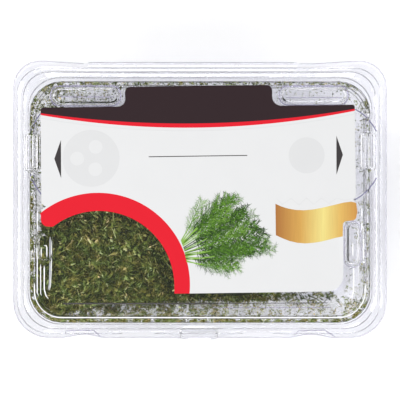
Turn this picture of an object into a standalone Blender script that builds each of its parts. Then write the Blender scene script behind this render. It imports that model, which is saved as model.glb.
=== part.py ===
"""A clear hinged clamshell pack, part-filled with dried dill weed and labelled on its lid.

It lies on its back with the lid up: +X is the reader's right, +Y runs to the hinge, +Z is up, and
the origin is the middle of the underside. Metres throughout.
"""

import math
import random

import bmesh
import bpy
from mathutils import Vector, noise
from mathutils.bvhtree import BVHTree

MM = 0.001

# Points along the outlines
ARC_STEPS = 6
BLOCK_ARC_STEPS = 4
LONG_STEPS = 7
SIDE_STEPS = 2

# Pack, lid closed
LENGTH = 120 * MM
FRONT_EDGE = -44.3 * MM
BACK_CORNERS = 44.8 * MM
BACK_BOW = 0.9 * MM
BOW_SPAN = 37 * MM
FRONT_CORNER_RADIUS = 11.5 * MM
BACK_CORNER_RADIUS = 8.5 * MM
SHEET = 0.45 * MM
LAYER_GAP = 0.35 * MM

# Cavity of the tray, at its mouth
CAVITY_HALF_LENGTH = 54.5 * MM
CAVITY_FRONT = -39.2 * MM
CAVITY_BACK = 37.9 * MM
CAVITY_RADIUS = 10 * MM
FLANGE_TOP = 20 * MM

# Inner wall of the tray: how far in from the mouth it stands at each height
WALL_PROFILE = [
    (0.0 * MM, 20.0 * MM),
    (0.5 * MM, 19.2 * MM),
    (5.0 * MM, 3.2 * MM),
    (5.6 * MM, 1.6 * MM),
    (6.6 * MM, 0.75 * MM),
    (7.6 * MM, SHEET),
]
CORNER_TIGHTENING = 0.5

# Stiffening groove pressed up into the floor
GROOVE_PROFILE = [
    (10.5 * MM, SHEET),
    (11.0 * MM, SHEET + 0.6 * MM),
    (12.4 * MM, SHEET + 0.6 * MM),
    (12.9 * MM, SHEET),
]

# Locking bead, as shares of the way from the flange's edge to the mouth
BEAD_SHARES = (0.26, 0.42, 0.58, 0.74)
BEAD_HEIGHT = 0.5 * MM

# Lid
LID_TOP = FLANGE_TOP + LAYER_GAP + SHEET
LID_INSET = 0.4 * MM
LID_BACK_CORNERS = 43.5 * MM
LID_BACK_BOW = 0.8 * MM
PLATFORM_INSET = 1.2 * MM
PLATFORM_RISE = 2 * MM
PLATFORM_TOP = LID_TOP + PLATFORM_RISE
RIDGE_HEIGHT = 0.3 * MM
RIDGE_WIDTH = 0.7 * MM
RIDGE_SLOPE = 0.25 * MM

# Stacking pads on the platform: left, right, front, back, corner radius
PADS = [
    (-47.6 * MM, -25.6 * MM, 30.4 * MM, 36.2 * MM, 2.8 * MM),
    (25.5 * MM, 47.2 * MM, 30.7 * MM, 36.2 * MM, 2.7 * MM),
    (-52.3 * MM, -47.0 * MM, -20.0 * MM, -10.4 * MM, 2.5 * MM),
    (46.5 * MM, 51.2 * MM, -21.2 * MM, -7.2 * MM, 2.2 * MM),
]
PAD_RISE = 1.6 * MM
PAD_DRAFT = 0.5 * MM

# Finger lifts of the two dispenser flaps, reaching out over the flange
LIFTS = [
    (-56.4 * MM, -50.8 * MM, 9.0 * MM, 21.4 * MM, 1.0 * MM),
    (50.6 * MM, 56.6 * MM, 9.4 * MM, 21.8 * MM, 1.0 * MM),
]
LIFT_DRAFT = 0.6 * MM
LIFT_RIBS = 3
LIFT_RIB_WIDTH = 0.8 * MM
LIFT_RIB_RISE = 0.5 * MM

# Slits beside each finger lift, along the two dispenser flaps: centre, radius, and the arcs' ends
FLAPS = [
    ((-34.8 * MM, 14.9 * MM), 20.9 * MM, [(139, 160), (200, 221)]),
    ((42.2 * MM, 14.6 * MM), 16.5 * MM, [(35, 63), (-63, -35)]),
]
SLIT_WIDTH = 0.35 * MM
SLIT_STEPS = 6

# Finger scallops and centre tab on the front edge
SCALLOPS = [-37.4 * MM, 35.8 * MM]
SCALLOP_LENGTH = 12 * MM
SCALLOP_DEPTH = 1.0 * MM
TAB_LEFT = -6.7 * MM
TAB_RIGHT = 6.0 * MM
TAB_FRONT = -44.8 * MM
TAB_BACK = -40.6 * MM
TAB_RADIUS = 1.6 * MM
TAB_RISE = 1.1 * MM

# The lid's edge is drawn in on both sides of the tab, to show the tray's edge: middle, length, depth
LID_HOLLOWS = [
    (-19.5 * MM, 25 * MM, 1.3 * MM),
    (18.4 * MM, 24 * MM, 1.3 * MM),
]

# Hinge fold on the tray's back edge
HINGE_LEFT = -36 * MM
HINGE_RIGHT = 31 * MM
HINGE_Y = 43.6 * MM
HINGE_Z = 20.5 * MM
HINGE_RADIUS = 0.6 * MM

# Label
LABEL_THICKNESS = 0.2 * MM
LABEL_GAP = 0.3 * MM
LABEL_TURN = math.radians(0.8)
WINDOW_CENTRE = (-32.3 * MM, -27.6 * MM)
WINDOW_RADIUS = 24.1 * MM
LABEL_LEFT = -51.0 * MM
LABEL_BOTTOM = -29.6 * MM
LABEL_BAND_END = (-51.0 * MM, -4.6 * MM)
WINDOW_ARC_START = math.radians(126)
WINDOW_STEPS = 20
LABEL_OUTLINE = [
    (-51.0 * MM, 29.4 * MM, 1.4 * MM),
    (-23.9 * MM, 29.4 * MM, 1.6 * MM),
    (-23.9 * MM, 36.3 * MM, 1.8 * MM),
    (22.7 * MM, 36.3 * MM, 1.8 * MM),
    (22.7 * MM, 29.4 * MM, 1.6 * MM),
    (49.9 * MM, 29.4 * MM, 1.4 * MM),
    (49.9 * MM, 1.0 * MM, 0.0),
    (49.0 * MM, 0.0 * MM, 0.0),
    (49.9 * MM, -1.0 * MM, 0.4 * MM),
    (50.3 * MM, -3.8 * MM, 1.2 * MM),
    (49.6 * MM, -6.6 * MM, 1.2 * MM),
    (45.5 * MM, -6.8 * MM, 1.6 * MM),
    (45.5 * MM, -29.6 * MM, 5.2 * MM),
]
LABEL_LEFT_NOTCH = [
    (-51.0 * MM, -2.6 * MM, 0.4 * MM),
    (-49.5 * MM, -1.6 * MM, 0.0),
    (-51.0 * MM, -0.6 * MM, 0.4 * MM),
]

# Heap of dill: a bank that falls away to the right and to the back
HEAP_FLOOR = 1.4 * MM
HEAP_PEAK = 18.6 * MM
HEAP_CLEARANCE = 0.55 * MM
HEAP_TOE = 19 * MM
HEAP_FULL = -17 * MM
HEAP_BACK_SHARE = 0.74
HEAP_LUMP = 0.9 * MM
HEAP_LUMP_SCALE = 110
HEAP_RISES = (0, 0.25, 1)
HEAP_RINGS = (0.12, 0.26, 0.42, 0.58, 0.74, 0.88)
FRAGMENTS = 340
FRAGMENT_LENGTH = (2.2 * MM, 4.8 * MM)
FRAGMENT_WIDTH = 0.62 * MM
FRAGMENT_SINK = 0.12 * MM
FRAGMENT_ROOT = 1.2 * MM
FRAGMENT_TILT = math.radians(32)
SEED = 9



def clear_scene():
    """Empties the file that the pack is built in."""
    for thing in list(bpy.data.objects):
        bpy.data.objects.remove(thing, do_unlink=True)


def new_collection(name):
    """A collection linked to the scene."""
    collection = bpy.data.collections.new(name)
    bpy.context.scene.collection.children.link(collection)
    return collection


def material(name, colour, roughness, transmission=0.0, alpha=1.0):
    """A plain Principled finish."""
    finish = bpy.data.materials.new(name)
    finish.use_nodes = True
    shader = finish.node_tree.nodes["Principled BSDF"]
    shader.inputs["Base Color"].default_value = (*colour, 1)
    shader.inputs["Roughness"].default_value = roughness
    shader.inputs["Metallic"].default_value = 0
    shader.inputs["Transmission Weight"].default_value = transmission
    shader.inputs["Alpha"].default_value = alpha
    return finish


def mesh_object(name, mesh, collection, finish=None):
    """An object for the mesh in the collection, with its finish."""
    thing = bpy.data.objects.new(name, mesh)
    collection.objects.link(thing)
    if finish:
        mesh.materials.append(finish)
    return thing


def arc(centre, radius, start, sweep, steps):
    """Points along an arc, both ends included."""
    angles = [start + sweep * i / steps for i in range(steps + 1)]
    return [Vector((centre[0] + radius * math.cos(a), centre[1] + radius * math.sin(a))) for a in angles]


def rounded_rectangle(left, right, front, back, front_radius, back_radius, arc_steps=ARC_STEPS,
                      edge_steps=(LONG_STEPS, SIDE_STEPS)):
    """Outline from above, counter-clockwise from the front left corner. Outlines made with the same
    steps have as many points, so two of them can be joined into a wall."""
    quarter = math.pi / 2
    arcs = [
        arc((left + front_radius, front + front_radius), front_radius, math.pi, quarter, arc_steps),
        arc((right - front_radius, front + front_radius), front_radius, -quarter, quarter, arc_steps),
        arc((right - back_radius, back - back_radius), back_radius, 0, quarter, arc_steps),
        arc((left + back_radius, back - back_radius), back_radius, quarter, quarter, arc_steps),
    ]
    points = []
    for i, corner in enumerate(arcs):
        points += corner
        steps = edge_steps[i % 2]
        following = arcs[(i + 1) % 4][0]
        points += [corner[-1].lerp(following, k / steps) for k in range(1, steps)]
    return points


def bowed(points, back, bow):
    """The outline with the middle of its back edge drawn in by the bow."""
    result = []
    for point in points:
        on_back_edge = abs(point.y - back) < 0.01 * MM
        pull = bow if on_back_edge and abs(point.x) < BOW_SPAN else 0
        result.append(Vector((point.x, point.y - pull)))
    return result


def between(outer, inner, share):
    """The outline that lies this share of the way from one outline to another."""
    return [a.lerp(b, share) for a, b in zip(outer, inner)]


def cavity(inset):
    """Outline of the cavity, in from its mouth."""
    radius = CAVITY_RADIUS - CORNER_TIGHTENING * inset
    return rounded_rectangle(
        inset - CAVITY_HALF_LENGTH,
        CAVITY_HALF_LENGTH - inset,
        CAVITY_FRONT + inset,
        CAVITY_BACK - inset,
        radius,
        radius,
    )


def loft(name, rings, collection, close_first=False):
    """A surface through rings of (outline, height), in order, whose last ring is filled."""
    shape = bmesh.new()
    loops = [[shape.verts.new((p.x, p.y, height)) for p in points] for points, height in rings]
    count = len(loops[0])
    for outer, inner in zip(loops, loops[1:]):
        for i in range(count):
            j = (i + 1) % count
            shape.faces.new((outer[i], outer[j], inner[j], inner[i]))
    shape.faces.new(loops[-1])
    if close_first:
        shape.faces.new(reversed(loops[0]))
    mesh = bpy.data.meshes.new(name)
    shape.to_mesh(mesh)
    shape.free()
    return mesh_object(name, mesh, collection)


def shrunk(box, amount):
    """A block's plan, smaller by the amount on every side."""
    left, right, front, back, radius = box
    tightest = 0.15 * MM
    return (left + amount, right - amount, front + amount, back - amount, max(radius - amount, tightest))


def block(name, box, low, high, draft, collection, arc_steps=BLOCK_ARC_STEPS):
    """A solid block with rounded corners whose sides lean in by the draft as they rise."""
    foot, head = [
        rounded_rectangle(*plan, plan[-1], arc_steps=arc_steps, edge_steps=(1, 1))
        for plan in (box, shrunk(box, draft))
    ]
    return loft(name, [(foot, low), (head, high)], collection, close_first=True)


def shell(thing):
    """Gives a formed surface the thickness of the sheet, on its underside."""
    solid = thing.modifiers.new("sheet", "SOLIDIFY")
    solid.thickness = SHEET
    solid.offset = -1
    solid.use_even_offset = True


def boolean(thing, operation, collection):
    """Joins to the object, or cuts from it, everything in a collection of guides."""
    change = thing.modifiers.new(operation.lower(), "BOOLEAN")
    change.operation = operation
    change.solver = "EXACT"
    change.operand_type = "COLLECTION"
    change.collection = collection
    for guide in collection.objects:
        guide.hide_render = True
        guide.display_type = "WIRE"


def cylinder(name, radius, depth, location, collection, steps=48, along_x=False):
    """A solid cylinder, upright or lying along X."""
    shape = bmesh.new()
    bmesh.ops.create_cone(
        shape, cap_ends=True, segments=steps, radius1=radius, radius2=radius, depth=depth
    )
    mesh = bpy.data.meshes.new(name)
    shape.to_mesh(mesh)
    shape.free()
    thing = mesh_object(name, mesh, collection)
    thing.location = location
    if along_x:
        thing.rotation_euler.y = math.pi / 2
    return thing


def tray_edge():
    """Outline of the tray's flange."""
    edge = rounded_rectangle(
        -LENGTH / 2, LENGTH / 2, FRONT_EDGE, BACK_CORNERS, FRONT_CORNER_RADIUS, BACK_CORNER_RADIUS
    )
    return bowed(edge, BACK_CORNERS, BACK_BOW)


def bead_rings(level):
    """Rings over the locking bead, which lies at the same place in the tray and the lid."""
    heights = (level, level + BEAD_HEIGHT, level + BEAD_HEIGHT, level)
    return [(between(tray_edge(), cavity(0), share), z) for share, z in zip(BEAD_SHARES, heights)]


def scallop(name, middle, front, length, depth, level, collection):
    """An upright cylinder that takes a shallow hollow out of a flange's front edge."""
    radius = (length**2 / 4 + depth**2) / (2 * depth)
    centre = (middle, front + depth - radius, level)
    cylinder(name, radius, 3 * SHEET, centre, collection, steps=int(2400 * radius))


def slit(name, path, low, high, collection):
    """A thin upright blade along a path, to cut a slit with."""
    ahead = [(b - a).normalized() for a, b in zip(path, path[1:])]
    ahead.append(ahead[-1])
    sides = [Vector((-way.y, way.x)) * SLIT_WIDTH / 2 for way in ahead]
    right = [point - side for point, side in zip(path, sides)]
    left = [point + side for point, side in zip(path, sides)]
    outline = right + left[::-1]
    loft(name, [(outline, low), (outline, high)], collection, close_first=True)


def make_tray(parts, finish):
    """Base shell: flange, drafted walls and floor, with the hinge fold on its back edge."""
    rings = [(tray_edge(), FLANGE_TOP)] + bead_rings(FLANGE_TOP)
    rings += [(cavity(inset), z) for inset, z in WALL_PROFILE + GROOVE_PROFILE]
    tray = loft("tray", rings, parts)
    tray.data.materials.append(finish)
    shell(tray)

    added = new_collection("tray_added")
    cylinder(
        "hinge_fold",
        HINGE_RADIUS,
        HINGE_RIGHT - HINGE_LEFT,
        ((HINGE_LEFT + HINGE_RIGHT) / 2, HINGE_Y, HINGE_Z),
        added,
        steps=12,
        along_x=True,
    )
    tab = (TAB_LEFT, TAB_RIGHT, TAB_FRONT, TAB_BACK, TAB_RADIUS)
    block("tray_tab", tab, FLANGE_TOP - SHEET - 0.2 * MM, FLANGE_TOP + 0.02 * MM, 0, added)
    boolean(tray, "UNION", added)
    cut = new_collection("tray_cut")
    for i, x in enumerate(SCALLOPS):
        scallop(f"tray_scallop_{i}", x, FRONT_EDGE, SCALLOP_LENGTH, SCALLOP_DEPTH,
                FLANGE_TOP - SHEET / 2, cut)
    boolean(tray, "DIFFERENCE", cut)
    return tray


def make_lid(parts, finish):
    """Cover shell: flange, raised platform, pads, finger lifts, flap outlines and front tab."""
    edge = rounded_rectangle(
        LID_INSET - LENGTH / 2,
        LENGTH / 2 - LID_INSET,
        FRONT_EDGE + LID_INSET,
        LID_BACK_CORNERS,
        FRONT_CORNER_RADIUS,
        BACK_CORNER_RADIUS,
    )
    rings = [(bowed(edge, LID_BACK_CORNERS, LID_BACK_BOW), LID_TOP)] + bead_rings(LID_TOP)
    ridge_top = PLATFORM_TOP + RIDGE_HEIGHT
    ridge_inner = PLATFORM_INSET + RIDGE_SLOPE + RIDGE_WIDTH
    rings += [
        (cavity(0.1 * MM), LID_TOP),
        (cavity(PLATFORM_INSET), ridge_top),
        (cavity(ridge_inner), ridge_top),
        (cavity(ridge_inner + RIDGE_SLOPE), PLATFORM_TOP),
    ]
    lid = loft("lid", rings, parts)
    lid.data.materials.append(finish)
    shell(lid)

    added = new_collection("lid_added")
    hollows = new_collection("lid_hollows")
    underside = PLATFORM_TOP - SHEET
    for i, pad in enumerate(PADS):
        block(f"pad_{i}", pad, underside + 0.1 * MM, PLATFORM_TOP + PAD_RISE, PAD_DRAFT, added)
        hollow = shrunk(pad, 1.2 * SHEET)
        head = PLATFORM_TOP + PAD_RISE - SHEET
        block(f"pad_hollow_{i}", hollow, underside - 0.2 * MM, head, PAD_DRAFT, hollows)
    for i, lift in enumerate(LIFTS):
        block(f"lift_{i}", lift, LID_TOP - 0.5 * SHEET, PLATFORM_TOP + 0.1 * MM, LIFT_DRAFT, added)
        hollow = shrunk(lift, 1.5 * SHEET)
        block(f"lift_hollow_{i}", hollow, LID_TOP - 2 * SHEET, underside, LIFT_DRAFT, hollows)
        left, right, front, back, _ = lift
        for k in range(LIFT_RIBS):
            y = front + (back - front) * (k + 1) / (LIFT_RIBS + 1)
            rib = (left + 1.2 * MM, right - 1.2 * MM, y - LIFT_RIB_WIDTH / 2, y + LIFT_RIB_WIDTH / 2,
                   0.3 * MM)
            block(f"lift_rib_{i}_{k}", rib, PLATFORM_TOP - 0.2 * MM,
                  PLATFORM_TOP + 0.1 * MM + LIFT_RIB_RISE, 0.1 * MM, added, arc_steps=1)
    tab = (TAB_LEFT, TAB_RIGHT, TAB_FRONT, TAB_BACK, TAB_RADIUS)
    block("lid_tab", tab, LID_TOP - 0.3 * SHEET, LID_TOP + TAB_RISE, 0.4 * MM, added)
    block("lid_tab_hollow", shrunk(tab, 1.3 * SHEET), LID_TOP - 2 * SHEET, LID_TOP + TAB_RISE - SHEET,
          0.3 * MM, hollows)
    front = FRONT_EDGE + LID_INSET
    hollowed = [(x, SCALLOP_LENGTH, SCALLOP_DEPTH) for x in SCALLOPS] + LID_HOLLOWS
    for i, (x, length, depth) in enumerate(hollowed):
        scallop(f"lid_scallop_{i}", x, front, length, depth, LID_TOP - SHEET / 2, hollows)
    for i, (centre, radius, arcs) in enumerate(FLAPS):
        for k, (start, end) in enumerate(arcs):
            path = arc(centre, radius, math.radians(start), math.radians(end - start), SLIT_STEPS)
            slit(f"slit_{i}_{k}", path, LID_TOP - 2 * SHEET, PLATFORM_TOP + 2 * SHEET, hollows)
    boolean(lid, "UNION", added)
    boolean(lid, "DIFFERENCE", hollows)
    return lid


def rounded_path(corners):
    """Outline through corners of (x, y, radius), each rounded by an arc of its radius."""
    points = []
    for i, (x, y, radius) in enumerate(corners):
        here = Vector((x, y))
        if radius == 0:
            points.append(here)
            continue
        back = (Vector(corners[i - 1][:2]) - here).normalized()
        ahead = (Vector(corners[(i + 1) % len(corners)][:2]) - here).normalized()
        half = back.angle(ahead) / 2
        centre = here + (back + ahead).normalized() * radius / math.sin(half)
        first = here + back * radius / math.tan(half) - centre
        last = here + ahead * radius / math.tan(half) - centre
        start = math.atan2(first.y, first.x)
        sweep = (math.atan2(last.y, last.x) - start + math.pi) % (2 * math.pi) - math.pi
        points += arc(centre, radius, start, sweep, 4)
    return points


def label_outline():
    """The label's cut edge: round the pads, with a tear notch each side and the round window."""
    window = arc(WINDOW_CENTRE, WINDOW_RADIUS, 0, WINDOW_ARC_START, WINDOW_STEPS)
    window_foot = Vector((WINDOW_CENTRE[0] + WINDOW_RADIUS, LABEL_BOTTOM))
    end_corners = [(p.x, p.y, 0.0) for p in [window_foot] + window]
    band_end = [(*LABEL_BAND_END, 1.6 * MM)]
    corners = LABEL_OUTLINE + end_corners + band_end + LABEL_LEFT_NOTCH
    return rounded_path(corners)


def make_label(parts, finish):
    """Thin printed label lying on the platform."""
    curve = bpy.data.curves.new("label", "CURVE")
    curve.dimensions = "2D"
    curve.fill_mode = "BOTH"
    curve.extrude = LABEL_THICKNESS / 2
    points = label_outline()
    spline = curve.splines.new("POLY")
    spline.points.add(len(points) - 1)
    for knot, point in zip(spline.points, points):
        knot.co = (point.x, point.y, 0, 1)
    spline.use_cyclic_u = True
    label = mesh_object("label", curve, parts, finish)
    label.location.z = PLATFORM_TOP + LABEL_GAP + LABEL_THICKNESS / 2
    label.rotation_euler.z = LABEL_TURN
    return label


def wall_inset(height):
    """How far in from the mouth the tray's inner wall stands at a height."""
    for (upper, top), (lower, bottom) in zip(WALL_PROFILE, WALL_PROFILE[1:]):
        if height >= bottom:
            share = min((top - height) / (top - bottom), 1)
            return upper + max(share, 0) * (lower - upper)
    return WALL_PROFILE[-1][0]


def smooth_step(value, low, high):
    """0 below low, 1 above high, and an eased rise between them."""
    share = min(max((value - low) / (high - low), 0), 1)
    return share * share * (3 - 2 * share)


def heap_height(x, y):
    """Height of the heap's top over a point of the floor."""
    along = 1 - smooth_step(x, HEAP_FULL, HEAP_TOE)
    across = 1 - (1 - HEAP_BACK_SHARE) * smooth_step(y, -10 * MM, 30 * MM)
    lump = noise.noise(Vector((x, y, 0.3)) * HEAP_LUMP_SCALE) * HEAP_LUMP
    thin = HEAP_FLOOR + 0.5 * MM
    return thin + max((HEAP_PEAK - thin) * along * across + lump * along, 0)


def heap_plan(height):
    """The heap's outline at a height, against the tray's leaning wall on three sides."""
    inset = wall_inset(height) + HEAP_CLEARANCE
    radius = CAVITY_RADIUS - CORNER_TIGHTENING * inset
    return rounded_rectangle(
        inset - CAVITY_HALF_LENGTH,
        HEAP_TOE,
        CAVITY_FRONT + inset,
        CAVITY_BACK - inset,
        radius,
        radius,
    )


def make_heap(guides):
    """The heap under the fragments, lofted from the floor up the walls and in over its top."""
    foot = heap_plan(HEAP_FLOOR)
    centre = Vector((-14 * MM, (CAVITY_FRONT + CAVITY_BACK) / 2))
    tops = [heap_height(p.x, p.y) for p in foot]
    rings = []
    for rise in HEAP_RISES:
        heights = [HEAP_FLOOR + rise * (top - HEAP_FLOOR) for top in tops]
        on_wall = [heap_plan(height)[i] for i, height in enumerate(heights)]
        rings.append([(p.x, p.y, height) for p, height in zip(on_wall, heights)])
    for share in HEAP_RINGS:
        ring = [Vector(p[:2]).lerp(centre, share) for p in on_wall]
        rings.append([(p.x, p.y, heap_height(p.x, p.y)) for p in ring])
    shape = bmesh.new()
    loops = [[shape.verts.new(p) for p in ring] for ring in rings]
    count = len(foot)
    for outer, inner in zip(loops, loops[1:]):
        for i in range(count):
            j = (i + 1) % count
            shape.faces.new((outer[i], outer[j], inner[j], inner[i]))
    peak = shape.verts.new((centre.x, centre.y, heap_height(centre.x, centre.y)))
    for i in range(count):
        shape.faces.new((loops[-1][i], loops[-1][(i + 1) % count], peak))
    shape.faces.new(reversed(loops[0]))
    bmesh.ops.triangulate(shape, faces=shape.faces)
    mesh = bpy.data.meshes.new("dill_weed")
    shape.to_mesh(mesh)
    shape.free()
    return mesh_object("dill_weed", mesh, guides)


def inside_tray(point, spare=0.0):
    """True if a point of a fragment clears the tray's walls, with room to spare, and the lid."""
    margin = wall_inset(point.z) + HEAP_CLEARANCE + spare
    radius = CAVITY_RADIUS - CORNER_TIGHTENING * margin
    half_y = (CAVITY_BACK - CAVITY_FRONT) / 2 - margin - radius
    over_x = max(abs(point.x) - (CAVITY_HALF_LENGTH - margin - radius), 0)
    over_y = max(abs(point.y - (CAVITY_FRONT + CAVITY_BACK) / 2) - half_y, 0)
    in_plan = math.hypot(over_x, over_y) < radius - FRAGMENT_WIDTH / 2
    above_floor = point.z > SHEET + 1.0 * MM + FRAGMENT_WIDTH / 2
    below_lid = point.z < FLANGE_TOP + LAYER_GAP - FRAGMENT_WIDTH / 2 - 0.3 * MM
    return in_plan and above_floor and below_lid


def scatter_fragments(heap, collection):
    """Three-sided slivers laid at random on the heap, half sunk in it."""
    draw = random.Random(SEED)
    bpy.context.view_layer.update()
    surface = BVHTree.FromObject(heap, bpy.context.evaluated_depsgraph_get())
    above = FLANGE_TOP + LAYER_GAP
    left = -CAVITY_HALF_LENGTH + 1 * MM
    placed = 0
    while placed < FRAGMENTS:
        x = draw.uniform(left, HEAP_TOE - 2 * MM)
        y = draw.uniform(CAVITY_FRONT, CAVITY_BACK)
        length = draw.uniform(*FRAGMENT_LENGTH)
        yaw = draw.uniform(0, 2 * math.pi)
        tilt = draw.uniform(-FRAGMENT_TILT, FRAGMENT_TILT)
        met = surface.ray_cast(Vector((x, y, above)), Vector((0, 0, -1)))[0]
        if met is None:
            continue
        middle = met - Vector((0, 0, FRAGMENT_SINK))
        direction = Vector(
            (math.cos(yaw) * math.cos(tilt), math.sin(yaw) * math.cos(tilt), math.sin(tilt))
        )
        ends = [middle + direction * side * length / 2 for side in (-1, 1)]
        if not (inside_tray(middle, FRAGMENT_ROOT) and all(inside_tray(end) for end in ends)):
            continue
        shape = bmesh.new()
        bmesh.ops.create_cone(
            shape,
            cap_ends=True,
            segments=3,
            radius1=FRAGMENT_WIDTH / 2,
            radius2=FRAGMENT_WIDTH / 6,
            depth=length,
        )
        mesh = bpy.data.meshes.new(f"fragment_{placed}")
        shape.to_mesh(mesh)
        shape.free()
        fragment = mesh_object(f"fragment_{placed}", mesh, collection)
        fragment.rotation_mode = "QUATERNION"
        fragment.rotation_quaternion = direction.to_track_quat("Z", "Y")
        fragment.location = middle
        placed += 1


def make_dill(parts, finish):
    """The heap with its fragments joined to it in one body."""
    fragments = new_collection("fragments")
    heap = make_heap(parts)
    scatter_fragments(heap, fragments)
    boolean(heap, "UNION", fragments)
    bpy.context.view_layer.update()
    evaluated = heap.evaluated_get(bpy.context.evaluated_depsgraph_get())
    joined = bpy.data.meshes.new_from_object(evaluated)
    heap.modifiers.clear()
    heap.data = joined
    joined.materials.clear()
    joined.materials.append(finish)
    for fragment in list(fragments.objects):
        bpy.data.objects.remove(fragment, do_unlink=True)
    bpy.data.collections.remove(fragments)
    return heap


clear_scene()
pack = new_collection("clamshell_pack_of_dill")
clear_plastic = material("clear_plastic", (0.93, 0.94, 0.96), 0.06, transmission=0.9, alpha=0.35)
printed_paper = material("printed_paper", (0.86, 0.87, 0.87), 0.4)
dried_dill = material("dried_dill", (0.13, 0.17, 0.05), 0.85)
make_tray(pack, clear_plastic)
make_lid(pack, clear_plastic)
make_label(pack, printed_paper)
make_dill(pack, dried_dill)
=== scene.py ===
import math

import bmesh
import bpy
import numpy as np
from mathutils import Matrix, Vector
from mathutils.bvhtree import BVHTree


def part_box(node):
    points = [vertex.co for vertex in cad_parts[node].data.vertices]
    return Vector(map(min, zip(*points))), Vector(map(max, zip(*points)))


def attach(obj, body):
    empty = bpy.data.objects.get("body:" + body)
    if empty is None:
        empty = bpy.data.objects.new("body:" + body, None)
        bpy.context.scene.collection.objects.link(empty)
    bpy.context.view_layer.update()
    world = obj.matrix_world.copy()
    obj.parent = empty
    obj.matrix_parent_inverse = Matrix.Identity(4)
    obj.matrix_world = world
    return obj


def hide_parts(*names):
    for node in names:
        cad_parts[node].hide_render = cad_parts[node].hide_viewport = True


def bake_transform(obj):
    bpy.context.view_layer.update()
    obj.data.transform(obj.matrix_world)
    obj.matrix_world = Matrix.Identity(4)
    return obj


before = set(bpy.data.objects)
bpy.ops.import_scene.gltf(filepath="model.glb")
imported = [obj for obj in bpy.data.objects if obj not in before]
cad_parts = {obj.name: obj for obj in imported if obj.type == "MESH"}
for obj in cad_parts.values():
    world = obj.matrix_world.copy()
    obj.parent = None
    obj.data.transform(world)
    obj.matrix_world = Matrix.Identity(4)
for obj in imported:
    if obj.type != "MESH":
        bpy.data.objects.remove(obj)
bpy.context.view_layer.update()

# The view
# The pack lies on its tray and is seen from straight above through a long lens, filling the frame's
# width, with its hinge at the top.
MM = 0.001
VIEW_WIDTH = 400 * 0.321 * MM
VIEW_DISTANCE = 0.75
FLANGE_LEVEL = 20.5 * MM
SENSOR_WIDTH = 36

camera_data = bpy.data.cameras.new("camera")
camera_data.sensor_width = SENSOR_WIDTH
camera_data.lens = SENSOR_WIDTH * VIEW_DISTANCE / VIEW_WIDTH
camera_data.clip_start = 0.05
camera = bpy.data.objects.new("camera", camera_data)
camera.location = (0, 0, VIEW_DISTANCE + FLANGE_LEVEL)
bpy.context.collection.objects.link(camera)
bpy.context.scene.camera = camera
bpy.context.scene.view_settings.view_transform = "Standard"


# Clear formed sheet
# The tray and the lid are pressed from one sheet of clear PET. It is glossy, faintly blue-grey, and
# a little wavy where the hot sheet cooled against the mould.
def nodes_of(material):
    """The material's node tree, emptied of all but its output."""
    material.use_nodes = True
    tree = material.node_tree
    for node in list(tree.nodes):
        if node.type != "OUTPUT_MATERIAL":
            tree.nodes.remove(node)
    return tree


def group_with(name, inputs, outputs):
    """An empty shader node group with its sockets, and its two end nodes."""
    group = bpy.data.node_groups.new(name, "ShaderNodeTree")
    for direction, sockets in (("INPUT", inputs), ("OUTPUT", outputs)):
        for socket, kind in sockets:
            group.interface.new_socket(socket, in_out=direction, socket_type=f"NodeSocket{kind}")
    return group, group.nodes.new("NodeGroupInput"), group.nodes.new("NodeGroupOutput")


def noise_of(tree, scale, detail=2):
    """A noise texture fixed to the piece, at so many waves a metre."""
    place = tree.nodes.new("ShaderNodeTexCoord")
    noise = tree.nodes.new("ShaderNodeTexNoise")
    noise.inputs["Scale"].default_value = scale
    noise.inputs["Detail"].default_value = detail
    tree.links.new(place.outputs["Object"], noise.inputs["Vector"])
    return noise


def forming_marks_group():
    """Low waves left by forming, and a faint haze that comes and goes, over the sheet."""
    group, entry, leave = group_with(
        "forming_marks",
        [("Wave Scale", "Float"), ("Haze", "Float")],
        [("Height", "Float"), ("Roughness", "Float")],
    )
    waves = noise_of(group, 100)
    haze = noise_of(group, 60)
    spread = group.nodes.new("ShaderNodeMapRange")
    spread.inputs["To Min"].default_value = 0.02
    group.links.new(entry.outputs["Wave Scale"], waves.inputs["Scale"])
    group.links.new(haze.outputs["Fac"], spread.inputs["Value"])
    group.links.new(entry.outputs["Haze"], spread.inputs["To Max"])
    group.links.new(waves.outputs["Fac"], leave.inputs["Height"])
    group.links.new(spread.outputs["Result"], leave.inputs["Roughness"])
    return group


forming_marks = forming_marks_group()


def bumped(tree, height, shader, strength, distance):
    """Relief from a height socket on a shader."""
    bump = tree.nodes.new("ShaderNodeBump")
    bump.inputs["Strength"].default_value = strength
    bump.inputs["Distance"].default_value = distance
    tree.links.new(height, bump.inputs["Height"])
    tree.links.new(bump.outputs["Normal"], shader.inputs["Normal"])


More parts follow.
